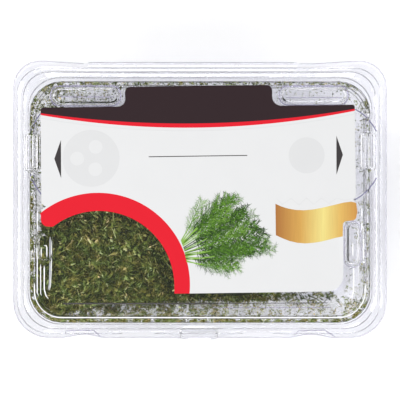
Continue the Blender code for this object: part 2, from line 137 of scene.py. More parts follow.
def clear_sheet(name, tint, wave_scale, haze, transmission=1, relief=0.03, depth=0.3 * MM):
    """Clear glossy plastic that lets the lamps through to what it covers."""
    material = bpy.data.materials.new(name)
    tree = nodes_of(material)
    plastic = tree.nodes.new("ShaderNodeBsdfPrincipled")
    plastic.inputs["Base Color"].default_value = (*tint, 1)
    plastic.inputs["Transmission Weight"].default_value = transmission
    plastic.inputs["IOR"].default_value = 1.5
    marks = tree.nodes.new("ShaderNodeGroup")
    marks.node_tree = forming_marks
    marks.inputs["Wave Scale"].default_value = wave_scale
    marks.inputs["Haze"].default_value = haze
    opening = tree.nodes.new("ShaderNodeBsdfTransparent")
    opening.inputs["Color"].default_value = (*tint, 1)
    ray = tree.nodes.new("ShaderNodeLightPath")
    choice = tree.nodes.new("ShaderNodeMixShader")
    tree.links.new(marks.outputs["Roughness"], plastic.inputs["Roughness"])
    bumped(tree, marks.outputs["Height"], plastic, relief, depth)
    tree.links.new(ray.outputs["Is Shadow Ray"], choice.inputs["Fac"])
    tree.links.new(plastic.outputs["BSDF"], choice.inputs[1])
    tree.links.new(opening.outputs["BSDF"], choice.inputs[2])
    tree.links.new(choice.outputs["Shader"], tree.nodes["Material Output"].inputs["Surface"])
    return material


tray_sheet = clear_sheet("clear_tray_sheet", (0.958, 0.959, 0.978), 140, 0.13)
lid_sheet = clear_sheet("clear_lid_sheet", (0.968, 0.969, 0.985), 120, 0.12)
for node, finish in (("tray", tray_sheet), ("lid", lid_sheet)):
    node_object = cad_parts[node]
    node_object.data.materials.clear()
    node_object.data.materials.append(finish)


# Folds and edges of the sheet
# The sheet is stretched thin at its tight folds. Each fold, bead line, rim and slit edge is a fine raised
# line in the sheet, tinted as painted light: white for a painted highlight, lilac and grey for painted
# shade, and near black for a painted shadow along the platform's crease.
def tinted_fold(name, tint, transmission, roughness):
    """The clear sheet along a fold, with a tint that paints light and shade on it."""
    return clear_sheet(name, tint, 400, roughness, transmission, 0.2, 0.1 * MM)


# Painted light: the lilac, pale, grey and slit-edge tints are painted shade, the near-black crease tint a
# painted shadow, the white tint a painted highlight.
lilac_fold_painted_shade = tinted_fold("lilac_fold_painted_shade", (0.86, 0.855, 0.91), 1.0, 0.1)
lilac_rim_painted_shade = tinted_fold("lilac_rim_painted_shade", (0.60, 0.58, 0.71), 0.7, 0.15)
pale_rim_painted_shade = tinted_fold("pale_rim_painted_shade", (0.80, 0.79, 0.87), 0.8, 0.15)
grey_fold_painted_shade = tinted_fold("grey_fold_painted_shade", (0.60, 0.60, 0.65), 0.4, 0.2)
slit_edge_painted_shade = tinted_fold("slit_edge_painted_shade", (0.20, 0.19, 0.33), 0.1, 0.3)
crease_painted_shadow = tinted_fold("crease_painted_shadow", (0.045, 0.042, 0.034), 0.15, 0.35)
white_fold_painted_highlight = tinted_fold("white_painted_highlight_fold", (0.97, 0.97, 0.98), 0.25, 0.25)


def arc(centre, radius, start, end, steps):
    """Points along an arc between two angles in degrees."""
    angles = [math.radians(start + (end - start) * i / steps) for i in range(steps + 1)]
    return [(centre[0] + radius * math.cos(a), centre[1] + radius * math.sin(a)) for a in angles]


def rounded(corners, steps=6):
    """A path whose corners (x, y, radius) are rounded off; a plain point stays as it is."""
    path = []
    count = len(corners)
    for i, corner in enumerate(corners):
        here = Vector(corner[:2])
        if len(corner) == 2:
            path.append(tuple(here))
            continue
        radius = corner[2]
        before = (Vector(corners[i - 1][:2]) - here).normalized()
        after = (Vector(corners[(i + 1) % count][:2]) - here).normalized()
        half = before.angle(after) / 2
        middle = here + (before + after).normalized() * radius / math.sin(half)
        first = here + before * radius / math.tan(half) - middle
        last = here + after * radius / math.tan(half) - middle
        sweep = first.angle_signed(last)
        for k in range(steps + 1):
            path.append(tuple(middle + Matrix.Rotation(-sweep * k / steps, 2) @ first))
    return path


def surface_of(node):
    """A search tree of a node's faces."""
    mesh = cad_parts[node].data
    return BVHTree.FromPolygons([v.co for v in mesh.vertices], [p.vertices for p in mesh.polygons])


surfaces = {"lid": surface_of("lid"), "tray": surface_of("tray")}
ABOVE_PACK = 30.0
DOWN = Vector((0, 0, -1))
TALL_STEP = 0.6
LID_HIGH = 24.43


def runs_over(body, path, closed):
    """The path as runs of x, y and the body's level in mm under it, broken at slits and steps."""
    runs = [[]]
    for point in path:
        spot = surfaces[body].ray_cast(Vector((*point, ABOVE_PACK)) * MM, DOWN)[0]
        if spot is None:
            runs.append([])
            continue
        if runs[-1] and abs(spot.z / MM - runs[-1][-1][2]) > TALL_STEP:
            runs.append([])
        runs[-1].append((*point, spot.z / MM))
    if closed and len(runs) > 1:
        runs[0] = runs.pop() + runs[0]
    return [run for run in runs if len(run) > 2], closed and len(runs) == 1


def skin(shape, rings, closed=False):
    """Faces from each ring of points to the next, and over the two ends of an open row of rings."""
    for first, second in list(zip(rings, rings[1:])) + ([(rings[-1], rings[0])] if closed else []):
        for i in range(len(first)):
            k = (i + 1) % len(first)
            shape.faces.new((first[i], first[k], second[k], second[i]))
    if not closed:
        shape.faces.new(rings[0][::-1])
        shape.faces.new(rings[-1])


def mesh_of(name, shape, finish):
    """The shape as a mesh with its faces turned outwards, in one finish."""
    bmesh.ops.recalc_face_normals(shape, faces=shape.faces)
    mesh = bpy.data.meshes.new(name)
    shape.to_mesh(mesh)
    shape.free()
    mesh.materials.append(finish)
    return mesh


def placed(name, mesh):
    """An object for the mesh, put in the scene."""
    piece = bpy.data.objects.new(name, mesh)
    bpy.context.collection.objects.link(piece)
    return piece


# Points of a fold line's section, as shares of its width and its height
FOLD_SECTION = ((-0.5, -0.1), (-0.32, 0.7), (0, 1), (0.32, 0.7), (0.5, -0.1))
END_TAPER = 0.35


def fold_line(name, path, width, height, finish, body, closed=True):
    """A fine half-round line along a path, laid on what is under it on the lid or the tray."""
    shape = bmesh.new()
    runs, closed = runs_over(body, path, closed)
    for run in runs:
        rings = []
        last = len(run) - 1
        for i, point in enumerate(run):
            before = Vector(run[i - 1 if closed else max(i - 1, 0)][:2])
            after = Vector(run[(i + 1) % len(run) if closed else min(i + 1, last)][:2])
            way = (after - before).normalized()
            side = Vector((-way.y, way.x))
            taper = END_TAPER if not closed and i in (0, last) else 1
            ring = []
            for across, rise in FOLD_SECTION:
                place = Vector(point[:2]) + side * across * width * taper
                level = min(point[2] + rise * height * taper, LID_HIGH)
                ring.append(shape.verts.new(Vector((*place, level)) * MM))
            rings.append(ring)
        skin(shape, rings, closed)
    for face in shape.faces:
        face.smooth = True
    piece = placed(name, mesh_of(name, shape, finish))
    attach(piece, body)


POINT_STEP = 0.8


def evenly(path, closed=True):
    """The path with points about as far apart as the step."""
    points = []
    ends = list(zip(path, path[1:])) + ([(path[-1], path[0])] if closed else [])
    for start, end in ends:
        pieces = max(int(math.dist(start, end) / POINT_STEP), 1)
        points += [tuple(Vector(start).lerp(Vector(end), k / pieces)) for k in range(pieces)]
    return points if closed else points + [path[-1]]


def ring_round(left, right, front, back, front_radius, back_radius):
    """A rectangle with rounded corners, from the middle of its right side on round by the back."""
    corners = [
        (right, 0.0), (right, back, back_radius), (left, back, back_radius),
        (left, front, front_radius), (right, front, front_radius),
    ]
    return evenly(rounded(corners, 16))


RIM_ERROR = 0.02


def rim_of(body, inset):
    """Points round the outer edge of a body, a little in from it."""
    path = []
    for half_degrees in range(0, 720, 3):
        turn = math.radians(half_degrees / 2)
        way = Vector((math.cos(turn), math.sin(turn)))
        near, far = 40.0, 76.0
        while far - near > RIM_ERROR:
            middle = (near + far) / 2
            if surfaces[body].ray_cast(Vector((*(way * middle), ABOVE_PACK)) * MM, DOWN)[0]:
                near = middle
            else:
                far = middle
        path.append(tuple(way * (near - inset)))
    return path


# The rim line, the flange's bead lines and the ridge away from the front are tinted as painted shade.
fold_line("tray_rim", rim_of("tray", 0.22), 0.3, 0.1, pale_rim_painted_shade, "tray")
ridge = ring_round(-52.95, 52.9, -37.6, 36.35, 8.6, 8.6)
by_front = [point for point in ridge if point[1] < -26]
# The ridge by the front is white as a painted highlight.
fold_line("ridge_by_front", by_front, 0.4, 0.2, white_fold_painted_highlight, "lid", False)
elsewhere = ridge[ridge.index(by_front[-1]):] + ridge[:ridge.index(by_front[0])]
fold_line("ridge_elsewhere", elsewhere, 0.3, 0.15, lilac_fold_painted_shade, "lid", False)
FLANGE_RINGS = {
    "outer_bead_line": (-58.5, 57.7, -42.8, 42.2, 10.2, 8.0),
    "inner_bead_line": (-56.6, 56.2, -41.2, 41.0, 9.8, 8.0),
    "mouth_line": (-55.1, 55.1, -39.8, 39.2, 10.4, 10.0),
}
for name, sides in FLANGE_RINGS.items():
    fold_line(name, ring_round(*sides), 0.28, 0.08, lilac_fold_painted_shade, "lid")

# Pad rims, tinted as painted shade.
PAD_RINGS = {
    "back_left_pad_rim": (-47.85, -25.35, 30.1, 36.5, 3.0),
    "back_right_pad_rim": (25.25, 47.45, 30.45, 36.45, 2.9),
    "right_pad_rim": (46.2, 51.5, -21.5, -6.9, 2.4),
}
for name, (left, right, front, back, radius) in PAD_RINGS.items():
    corners = [(right, front, radius), (right, back, radius), (left, back, radius), (left, front, radius)]
    finish = pale_rim_painted_shade if name == "right_pad_rim" else lilac_rim_painted_shade
    fold_line(name, evenly(rounded(corners)), 0.4, 0.1, finish, "lid")

# Slit edges beside the finger lifts: centre and radius of the flap, and the ends of each arc
SLIT_ARCS = [
    ((-34.8, 14.9), 20.64, 139, 162), ((-34.8, 14.9), 20.64, 198, 221),
    ((42.2, 14.6), 16.26, -63, -27), ((42.2, 14.6), 16.26, 27, 63),
]
# Each slit edge is tinted dark as painted shade.
for number, (centre, radius, start, end) in enumerate(SLIT_ARCS):
    path = arc(centre, radius, start, end, 36)
    fold_line(f"slit_edge_painted_shade_{number}", path, 0.36, 0.08, slit_edge_painted_shade, "lid", False)

# Creases, ribs, catches and other short folds of the lid: finish, width and path. Their white finish is a
# painted highlight, the lilac and grey ones painted shade and the near-black crease one a painted shadow.
LID_FOLDS = {
    # The crease lines are near black as a painted shadow.
    "platform_crease_painted_shadow": (crease_painted_shadow, 0.55, [(-44.0, -33.15), (4.0, -33.1)]),
    "platform_crease_right_painted_shadow": (crease_painted_shadow, 0.24, [(3.0, -33.1), (41.0, -32.9)]),
    "platform_crease_edge": (lilac_rim_painted_shade, 0.22, [(4.0, -34.5), (42.0, -34.4)]),
    "left_frame": (
        white_fold_painted_highlight, 0.4, [(-50.9, -14.0), (-51.9, -14.0), (-52.1, -14.8), (-52.1, -29.6), (-51.7, -30.6)],
    ),
    "left_inner_frame": (white_fold_painted_highlight, 0.3, [(-50.5, -19.6), (-51.0, -20.6), (-51.0, -29.8), (-50.7, -30.6)]),
    "left_short_rib": (white_fold_painted_highlight, 0.4, [(-50.7, -15.1), (-50.7, -18.2)]),
    "left_hooked_rib": (white_fold_painted_highlight, 0.4, [(-49.9, -14.5), (-49.1, -14.6), (-48.9, -15.2), (-48.9, -18.3)]),
    "left_long_rib": (white_fold_painted_highlight, 0.4, [(-49.85, -21.0), (-49.85, -28.6), (-49.3, -30.6), (-48.5, -31.6)]),
    "left_band": (
        grey_fold_painted_shade, 0.42, [(-48.0, -10.9), (-47.85, -11.8), (-47.95, -19.5), (-48.2, -27.0), (-48.6, -28.8)],
    ),
    "left_band_edge": (
        white_fold_painted_highlight, 0.26, [(-47.6, -11.2), (-47.4, -12.0), (-47.5, -19.5), (-47.8, -27.0), (-48.2, -28.9)],
    ),
    "left_upper_rib": (white_fold_painted_highlight, 0.4, [(-52.1, -3.2), (-52.1, -9.6)]),
    "left_lift_rib": (white_fold_painted_highlight, 0.35, [(-52.1, 10.0), (-52.1, 20.6)]),
    "left_lift_outer_rib": (white_fold_painted_highlight, 0.3, [(-53.5, 10.0), (-53.5, 20.8)]),
    "right_pad_rib": (white_fold_painted_highlight, 0.5, [(48.8, -13.6), (48.8, -17.8)]),
    "right_long_rib": (white_fold_painted_highlight, 0.45, [(49.2, -21.6), (49.2, -29.4), (48.6, -31.0), (47.6, -31.9)]),
    "right_outer_rib": (white_fold_painted_highlight, 0.25, [(50.8, -13.8), (50.8, -25.6)]),
    "right_upper_rib": (white_fold_painted_highlight, 0.4, [(51.8, -2.6), (51.8, -5.6)]),
    "right_lower_rib": (white_fold_painted_highlight, 0.4, [(51.8, -6.6), (51.8, -10.2)]),
    "right_lift_rib": (white_fold_painted_highlight, 0.35, [(51.6, 10.2), (51.6, 21.4)]),
    "right_lift_middle_rib": (white_fold_painted_highlight, 0.3, [(52.8, 10.2), (52.8, 21.4)]),
    "right_lift_outer_rib": (white_fold_painted_highlight, 0.3, [(54.0, 10.2), (54.0, 21.4)]),
    "back_left_pad_fold": (lilac_rim_painted_shade, 0.3, [(-45.0, 32.9), (-27.5, 32.9)]),
    "back_right_pad_fold": (lilac_rim_painted_shade, 0.25, [(27.5, 32.7), (45.5, 32.7)]),
    "front_left_catch": (
        lilac_rim_painted_shade, 0.3, [(-43.6, -44.0), (-43.0, -42.0), (-40.0, -41.8), (-34.0, -41.9), (-32.0, -43.7)],
    ),
    "front_right_catch": (lilac_rim_painted_shade, 0.3, [(30.0, -43.6), (31.6, -42.0), (40.0, -41.7), (43.4, -43.9)]),
}
for name, (finish, width, path) in LID_FOLDS.items():
    fold_line(name, evenly(path, False), width, 0.15, finish, "lid", False)


# Dried dill
# The leaves were dried and cut to needles and flat bits a few millimetres long, with a few paler
# pieces of stalk. They lie in a loose heap, banked to the left and the front of the tray.
BROWNED, GREENER = (1.08, 0.91, 0.80), (0.86, 1.08, 0.95)
LEAF_TONES = [
    (0.0, (0.003, 0.005, 0.0015)),
    (0.30, (0.019, 0.025, 0.004)),
    (0.58, (0.062, 0.074, 0.012)),
    (0.80, (0.160, 0.176, 0.037)),
    (0.92, (0.310, 0.320, 0.115)),
    (1.0, (0.480, 0.450, 0.240)),
]


def colour_stops(tree, stops):
    """A colour ramp with a stop for each position and colour."""
    node = tree.nodes.new("ShaderNodeValToRGB")
    elements = node.color_ramp.elements
    while len(elements) < len(stops):
        elements.new(0.5)
    for element, (position, colour) in zip(elements, stops):
        element.position = position
        element.color = (*colour, 1)
    return node


# Sockets of a node that mixes colours
SHARE, FIRST, SECOND, MIXED = 0, 6, 7, 2


def colour_mix(tree, blend_type):
    """A node that mixes two colours, or multiplies them."""
    node = tree.nodes.new("ShaderNodeMix")
    node.data_type = "RGBA"
    node.blend_type = blend_type
    return node


def leaf_tones_group():
    """Colours of dried leaf from shadowed olive to straw, by each piece's tone and small mottling."""
    group, entry, leave = group_with(
        "leaf_tones",
        [("Tone", "Float"), ("Mottle", "Float")],
        [("Color", "Color"), ("Height", "Float")],
    )
    mottling = noise_of(group, 900, 3)
    centred = group.nodes.new("ShaderNodeMath")
    centred.operation = "SUBTRACT"
    centred.inputs[1].default_value = 0.5
    mottled = group.nodes.new("ShaderNodeMath")
    mottled.operation = "MULTIPLY_ADD"
    tones = colour_stops(group, LEAF_TONES)
    patches = noise_of(group, 420, 1)
    browning = group.nodes.new("ShaderNodeMapRange")
    browning.inputs["From Min"].default_value = 0.36
    browning.inputs["From Max"].default_value = 0.64
    cast = colour_mix(group, "MIX")
    cast.inputs[FIRST].default_value = (*BROWNED, 1)
    cast.inputs[SECOND].default_value = (*GREENER, 1)
    turned = colour_mix(group, "MULTIPLY")
    turned.inputs[SHARE].default_value = 1
    group.links.new(mottling.outputs["Fac"], centred.inputs[0])
    group.links.new(centred.outputs["Value"], mottled.inputs[0])
    group.links.new(entry.outputs["Mottle"], mottled.inputs[1])
    group.links.new(entry.outputs["Tone"], mottled.inputs[2])
    group.links.new(mottled.outputs["Value"], tones.inputs["Fac"])
    group.links.new(patches.outputs["Fac"], browning.inputs["Value"])
    group.links.new(browning.outputs["Result"], cast.inputs[SHARE])
    group.links.new(tones.outputs["Color"], turned.inputs[FIRST])
    group.links.new(cast.outputs[MIXED], turned.inputs[SECOND])
    group.links.new(turned.outputs[MIXED], leave.inputs["Color"])
    group.links.new(mottling.outputs["Fac"], leave.inputs["Height"])
    return group


leaf_tones = leaf_tones_group()


def leaf_finish(name, mottle, roughness):
    """Matt dried leaf whose colour follows the tone stored on each piece of it."""
    material = bpy.data.materials.new(name)
    tree = nodes_of(material)
    leaf = tree.nodes.new("ShaderNodeBsdfPrincipled")
    leaf.inputs["Roughness"].default_value = roughness
    leaf.inputs["Specular IOR Level"].default_value = 0.12
    tone = tree.nodes.new("ShaderNodeAttribute")
    tone.attribute_name = "tone"
    colours = tree.nodes.new("ShaderNodeGroup")
    colours.node_tree = leaf_tones
    colours.inputs["Mottle"].default_value = mottle
    tree.links.new(tone.outputs["Fac"], colours.inputs["Tone"])
    tree.links.new(colours.outputs["Color"], leaf.inputs["Base Color"])
    bumped(tree, colours.outputs["Height"], leaf, 0.5, 0.1 * MM)
    tree.links.new(leaf.outputs["BSDF"], tree.nodes["Material Output"].inputs["Surface"])
    return material


dill_leaf = leaf_finish("dried_dill_leaf", 0.3, 0.75)
dill_packed = leaf_finish("packed_dill", 0.5, 0.9)


def triangles_of(node):
    """Corners, unit normals and areas of a node's triangles, as arrays."""
    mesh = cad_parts[node].data
    mesh.calc_loop_triangles()
    corners = np.empty(len(mesh.loop_triangles) * 3, np.int32)
    mesh.loop_triangles.foreach_get("vertices", corners)
    points = np.empty(len(mesh.vertices) * 3)
    mesh.vertices.foreach_get("co", points)
    faces = points.reshape(-1, 3)[corners.reshape(-1, 3)]
    normals = np.cross(faces[:, 1] - faces[:, 0], faces[:, 2] - faces[:, 0])
    doubled = np.linalg.norm(normals, axis=1)
    keep = doubled > 1e-12
    return faces[keep], normals[keep] / doubled[keep, None], doubled[keep] / 2


def scatter(faces, normals, areas, count):
    """Random places on the triangles, as many to each as its area calls for."""
    chosen = draw.choice(len(faces), count, p=areas / areas.sum())
    a, b = draw.random((2, count))
    flip = a + b > 1
    a[flip], b[flip] = 1 - a[flip], 1 - b[flip]
    corner = faces[chosen]
    places = corner[:, 0] + a[:, None] * (corner[:, 1] - corner[:, 0])
    places += b[:, None] * (corner[:, 2] - corner[:, 0])
    return places, normals[chosen]


def along_surface(normals, tilt):
    """A random direction along each surface, tilted off it by up to the angle."""
    wild = draw.normal(size=normals.shape)
    flat = wild - normals * (wild * normals).sum(1)[:, None]
    flat /= np.linalg.norm(flat, axis=1)[:, None]
    angles = draw.uniform(-1, 1, len(normals)) * math.radians(tilt)
    return flat * np.cos(angles)[:, None] + normals * np.sin(angles)[:, None]


# Corners of a bit of leaf, as shares of its length, width and thickness, and the faces between them
NEEDLE = (
    [(-0.5, -0.3, -0.2), (-0.5, 0.3, -0.2), (-0.5, 0, 0.4), (0.1, -0.5, -0.3), (0.1, 0.5, -0.3),
     (0.1, 0, 0.7), (0.5, 0, 0)],
    [(0, 1, 4, 3), (1, 2, 5, 4), (2, 0, 3, 5), (3, 4, 6), (4, 5, 6), (5, 3, 6), (0, 2, 1)],
)
CHIP = (
    [(-0.5, 0, -0.2), (0.05, -0.5, -0.2), (0.5, 0, -0.2), (-0.1, 0.5, -0.2), (0, 0, 0.5)],
    [(0, 1, 4), (1, 2, 4), (2, 3, 4), (3, 0, 4), (0, 3, 2, 1)],
)

TRAY_FLOOR = 0.5 * MM
CLUMP_WAVES = np.random.default_rng(4).normal(size=(14, 2)) * 0.55
CLUMP_TURNS = np.random.default_rng(5).uniform(0, 2 * math.pi, 14)


def clumps(places):
    """How far the leaves stand in a clump or a hollow, about -1 to 1, a few millimetres across."""
    waves = (places[:, :2] / MM) @ CLUMP_WAVES.T * 2 + CLUMP_TURNS
    return np.sin(waves).sum(axis=1) / 4


def ramp(values, low, high):
    """0 below low, 1 above high and straight between."""
    return np.clip((values - low) / (high - low), 0, 1)


def store_tones(mesh, tones):
    """The tone of each of the mesh's points, for its finish to colour it by."""
    mesh.attributes.new("tone", "FLOAT", "POINT").data.foreach_set("value", tones.astype(np.float32))


def bits_of_leaf(name, form, places, normals, tilt, lengths, widths, tones, thickness, standing=False):
    """Closed little bits of leaf, each bent a little to one side; standing ones rest on one end."""
    corners, pattern = form
    count = len(places)
    ways = along_surface(normals, tilt)
    lengths = draw.triangular(*lengths, count) * MM
    widths = draw.triangular(*widths, count) * MM
    if standing:
        rise = abs((ways * normals).sum(axis=1)) * lengths / 2
        places = places + normals * rise[:, None]
    # Bits in front of the crease are made paler, painted light against the shade there.
    painted_light_by_front = 0.10 * ramp(-places[:, 1] / MM, 33, 34)
    tones = np.clip(draw.normal(*tones, count) + 0.05 * clumps(places) + painted_light_by_front, 0.02, 1.0)
    across = np.cross(ways, normals)
    across /= np.linalg.norm(across, axis=1)[:, None]
    up = np.cross(across, ways)
    bend = draw.uniform(-0.08, 0.08, count) * lengths
    points = []
    for share, side, rise in corners:
        point = places + ways * (share * lengths)[:, None]
        point += across * (side * widths + bend * (1 - 2 * abs(share)))[:, None]
        points.append(point + up * (rise * widths * thickness)[:, None])
    points = np.stack(points, axis=1)
    points[:, :, 2] += np.maximum(TRAY_FLOOR - points[:, :, 2].min(axis=1), 0)[:, None]
    faces = []
    for first in range(0, count * len(corners), len(corners)):
        faces += [tuple(first + k for k in face) for face in pattern]
    mesh = bpy.data.meshes.new(name)
    mesh.from_pydata(points.reshape(-1, 3).tolist(), [], faces)
    store_tones(mesh, np.repeat(tones, len(corners)))
    mesh.materials.append(dill_leaf)
    piece = placed(name, mesh)
    return piece


def settled(points):
    """The heap's points as shaking leaves them: lower at the back, and fallen away from the walls."""
    x, y, z = points.T / MM
    backward = ramp(y, -14, 2)
    from_left = 5.2 * backward * ramp(-x, 38, 53)
    from_back = -8.0 * ramp(y, 16, 37)
    from_front = 0.78 * ramp(x, -50, -30) * np.maximum(-y - 31.4, 0)
    sunk = 1 - 0.35 * backward * ramp(-x, 30, 52) - 0.3 * ramp(y, 18, 36)
    return np.column_stack([x + from_left, y + from_back + from_front, 1.4 + (z - 1.4) * sunk]) * MM


PACKED_SHARES = (0.985, 0.985, 0.91)
# The inside's dark tone is painted shade seen through the gaps of the heap.
INSIDE_PAINTED_SHADE_TONE = 0.2


def packed_inside(name):
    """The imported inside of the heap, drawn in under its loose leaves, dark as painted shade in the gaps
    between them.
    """
    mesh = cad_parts["dill_weed"].data.copy()
    mesh.materials.clear()
    mesh.materials.append(dill_packed)
    points = np.empty(len(mesh.vertices) * 3)
    mesh.vertices.foreach_get("co", points)
    points = settled(points.reshape(-1, 3))
    middle = points.mean(axis=0)
    points = middle + (points - middle) * PACKED_SHARES
    mesh.vertices.foreach_set("co", points.ravel())
    store_tones(mesh, np.full(len(points), INSIDE_PAINTED_SHADE_TONE))
    piece = placed(name, mesh)
    return piece


draw = np.random.default_rng(9)
heap_faces, heap_normals, heap_areas = triangles_of("dill_weed")
heap_faces = settled(heap_faces.reshape(-1, 3)).reshape(-1, 3, 3)
FACING_UP = 0.25
on_top = heap_normals[:, 2] > FACING_UP
# Layers: name, faces, count, depths off the face, tilt, lengths, widths, tones' middle and spread
DILL_LAYERS = [
    # The lower needles' darker tone is painted shade deep in the heap.
    ("lower_needles_painted_shade", on_top, 15000, (-1.5, -0.4), 30, (1.0, 1.9, 4.0), (0.22, 0.32, 0.5), (0.34, 0.15)),
    ("upper_needles", on_top, 17500, (-0.6, 0.4), 40, (0.9, 1.7, 4.4), (0.16, 0.25, 0.42), (0.56, 0.20)),
    ("flakes", on_top, 4600, (-0.4, 0.4), 26, (0.9, 1.5, 3.4), (0.34, 0.55, 1.1), (0.62, 0.16)),
    ("stalks", on_top, 420, (-0.1, 0.4), 26, (0.8, 1.4, 4.2), (0.2, 0.3, 0.6), (0.88, 0.07)),
    ("side_needles", ~on_top, 11000, (-0.5, -0.05), 7, (0.7, 1.4, 3.0), (0.24, 0.4, 0.8), (0.56, 0.17)),
]
dill_pieces = [packed_inside("dill_packed_inside")]
for name, part, count, depths, tilt, lengths, widths, tones in DILL_LAYERS:
    places, normals = scatter(heap_faces[part], heap_normals[part], heap_areas[part], count)
    places = places + normals * (draw.uniform(*depths, count) + 0.25 * clumps(places) - 0.2)[:, None] * MM
    thin = 0.22 if name == "flakes" else 0.5
    piece = bits_of_leaf(f"dill_{name}", NEEDLE, places, normals, tilt, lengths, widths, tones, thin)
    dill_pieces.append(piece)
for piece in dill_pieces:
    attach(piece, "tray")
    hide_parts("dill_weed")


# Loose specks
# Fine bits of leaf held to the plastic by static, in patches: thick on the walls beside the heap and
# along the front, thin at the empty end, and thick again on the platform's sloping edge over the seam.
SPECK_LIFT = 0.07 * MM
SPECK_LENGTHS = (0.28, 0.5, 1.7)
SPECK_WIDTHS = (0.22, 0.4, 0.8)
SPECK_TONES = (0.74, 0.17)


def cling(name, body, wanted, count, lengths, share_of, tilt=58, tones=SPECK_TONES):
    """Bits of leaf held in patches to the wanted faces of a body, as thick as share_of says."""
    faces, normals, areas = triangles_of(body)
    x, y, z = faces.mean(axis=1).T / MM
    keep = wanted(x, y, z, normals)
    places, normals = scatter(faces[keep], normals[keep], areas[keep], count)
    patchy = np.clip(0.8 + 0.8 * clumps(places), 0.1, 1.6)
    kept = draw.random(count) < share_of(*(places.T / MM)) * patchy
    places, normals = places[kept] + normals[kept] * SPECK_LIFT, normals[kept]
    piece = bits_of_leaf(name, CHIP, places, normals, tilt, lengths, SPECK_WIDTHS, tones, 0.5, True)
    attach(piece, body)


WALL_FOOT, WALL_TOP = 1, 19.9


def wall(x, y, z, normals):
    """True for the inner faces of the tray's walls."""
    inward = x * normals[:, 0] + y * normals[:, 1] < 0
    return inward & (z < WALL_TOP) & (z > WALL_FOOT) & (normals[:, 2] > 0)


cling("specks_on_front_wall", "tray",
      lambda x, y, z, n: wall(x, y, z, n) & (y < -28) & (abs(x) < 46), 27000, SPECK_LENGTHS,
      lambda x, y, z: 0.10 + 0.59 * (1 - ramp(x, -34, 22)) + 0.10 * ramp(z, 15, 19))
cling("specks_on_back_wall", "tray",
      lambda x, y, z, n: wall(x, y, z, n) & (y > 28) & (abs(x) < 46), 15000, SPECK_LENGTHS,
      lambda x, y, z: 0.02 + 0.14 * (1 - ramp(x, -25, 20)))
cling("specks_on_left_wall", "tray",
      lambda x, y, z, n: wall(x, y, z, n) & (x < -42), 19000, SPECK_LENGTHS,
      lambda x, y, z: 0.12 + 0.16 * ramp(y, 18, 30) + 0.9 * ramp(-y, 3, 14))
cling("specks_on_right_wall", "tray",
      lambda x, y, z, n: wall(x, y, z, n) & (x > 42), 15000, SPECK_LENGTHS,
      lambda x, y, z: 0.03 + 0.04 * ramp(z, 10, 19) + 0.3 * ramp(x - y, 79, 86)
      + 0.06 * ramp(x + y, 78, 86))


def under_platform(x, y, z, normals):
    """True for the underside of the lid's platform."""
    return (normals[:, 2] < -0.2) & (z > 22.3) & (abs(x) < 53) & (y > -37.6) & (y < 36.4)


cling("specks_on_lid", "lid", under_platform, 9000, (0.3, 0.5, 1.5),
      lambda x, y, z: 0.04 + 0.10 * (1 - ramp(x, -40, 0)) * ramp(y, 24, 32))

MOUTH_HALF_LENGTH, MOUTH_HALF_WIDTH = 54.5, 38.55
MOUTH_MIDDLE_Y = -0.65
MOUTH_RADIUS = 10


def from_mouth(x, y):
    """How far places are in from the edge of the tray's mouth, in mm."""
    beyond = np.maximum(abs(x) - MOUTH_HALF_LENGTH + MOUTH_RADIUS, 0)
    across = np.maximum(abs(y - MOUTH_MIDDLE_Y) - MOUTH_HALF_WIDTH + MOUTH_RADIUS, 0)
    return MOUTH_RADIUS - np.hypot(beyond, across)


def platform_slope(x, y, z, normals):
    """True for the outer side of the narrow slope round the lid's platform."""
    sloping = (normals[:, 2] > 0.2) & (normals[:, 2] < 0.9) & (z > 20.85) & (z < 22.75)
    return sloping & (from_mouth(x, y) > -0.1) & (from_mouth(x, y) < 1.3)


def seam_share(x, y, z):
    """Thin beside the right pad, thicker to the left and thickest along the front."""
    by_right_pad = (x > 48) & (y > -28) & (y < 26)
    elsewhere = 0.24 + 0.36 * ramp(-y, 30, 37) + 0.14 * ramp(-x - y, 20, 70) - 0.06 * ramp(x, 10, 40)
    return np.where(by_right_pad, 0.08, elsewhere)


cling("specks_by_seam", "lid", platform_slope, 12000, (0.3, 0.55, 1.2), seam_share, 20, (0.60, 0.24))

# Thin end of the heap, spilt along the floor by the front wall
FLOOR_BITS = 7000
x, y = draw.uniform(2, 44, FLOOR_BITS), draw.uniform(-33.2, -22, FLOOR_BITS)
thinning = ramp(-y, 21, 29) * np.clip(0.9 + clumps(np.stack([x, y], axis=1) * MM), 0.2, 1.2)
kept = draw.random(FLOOR_BITS) < 0.10 + 0.85 * (1 - ramp(x, 12, 31)) * thinning
spots = [
    surfaces["tray"].ray_cast(Vector((a, b, WALL_TOP)) * MM, DOWN)[0]
    for a, b in zip(x[kept], y[kept])
]
places = np.array([tuple(spot) for spot in spots if spot]) + (0, 0, 0.12 * MM)
level = np.tile((0.0, 0.0, 1.0), (len(places), 1))
spilt = bits_of_leaf(
    "bits_on_floor", NEEDLE, places, level, 8, (0.6, 1.2, 2.6), (0.2, 0.34, 0.7), (0.60, 0.18), 0.4
)
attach(spilt, "tray")


# Label
# A sheet of coated white paper stuck on the platform, cut round the pads with a round window, and
# printed in flat inks: a dark head band over a red stripe, a red arc round the window, grey marks, a
# gold ribbon and a green sprig.
LABEL_LOW, LABEL_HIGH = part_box("label")
LABEL_TURN = math.radians(0.8)
INK = 0.008 * MM
INK_GAP = 0.002 * MM
WINDOW = (-32.69, -27.15)
WINDOW_RADIUS = 24.1
ARC_MIDDLE = (-32.98, -26.64)
ARC_RADIUS = 29.4
LABEL_FOOT = -29.85


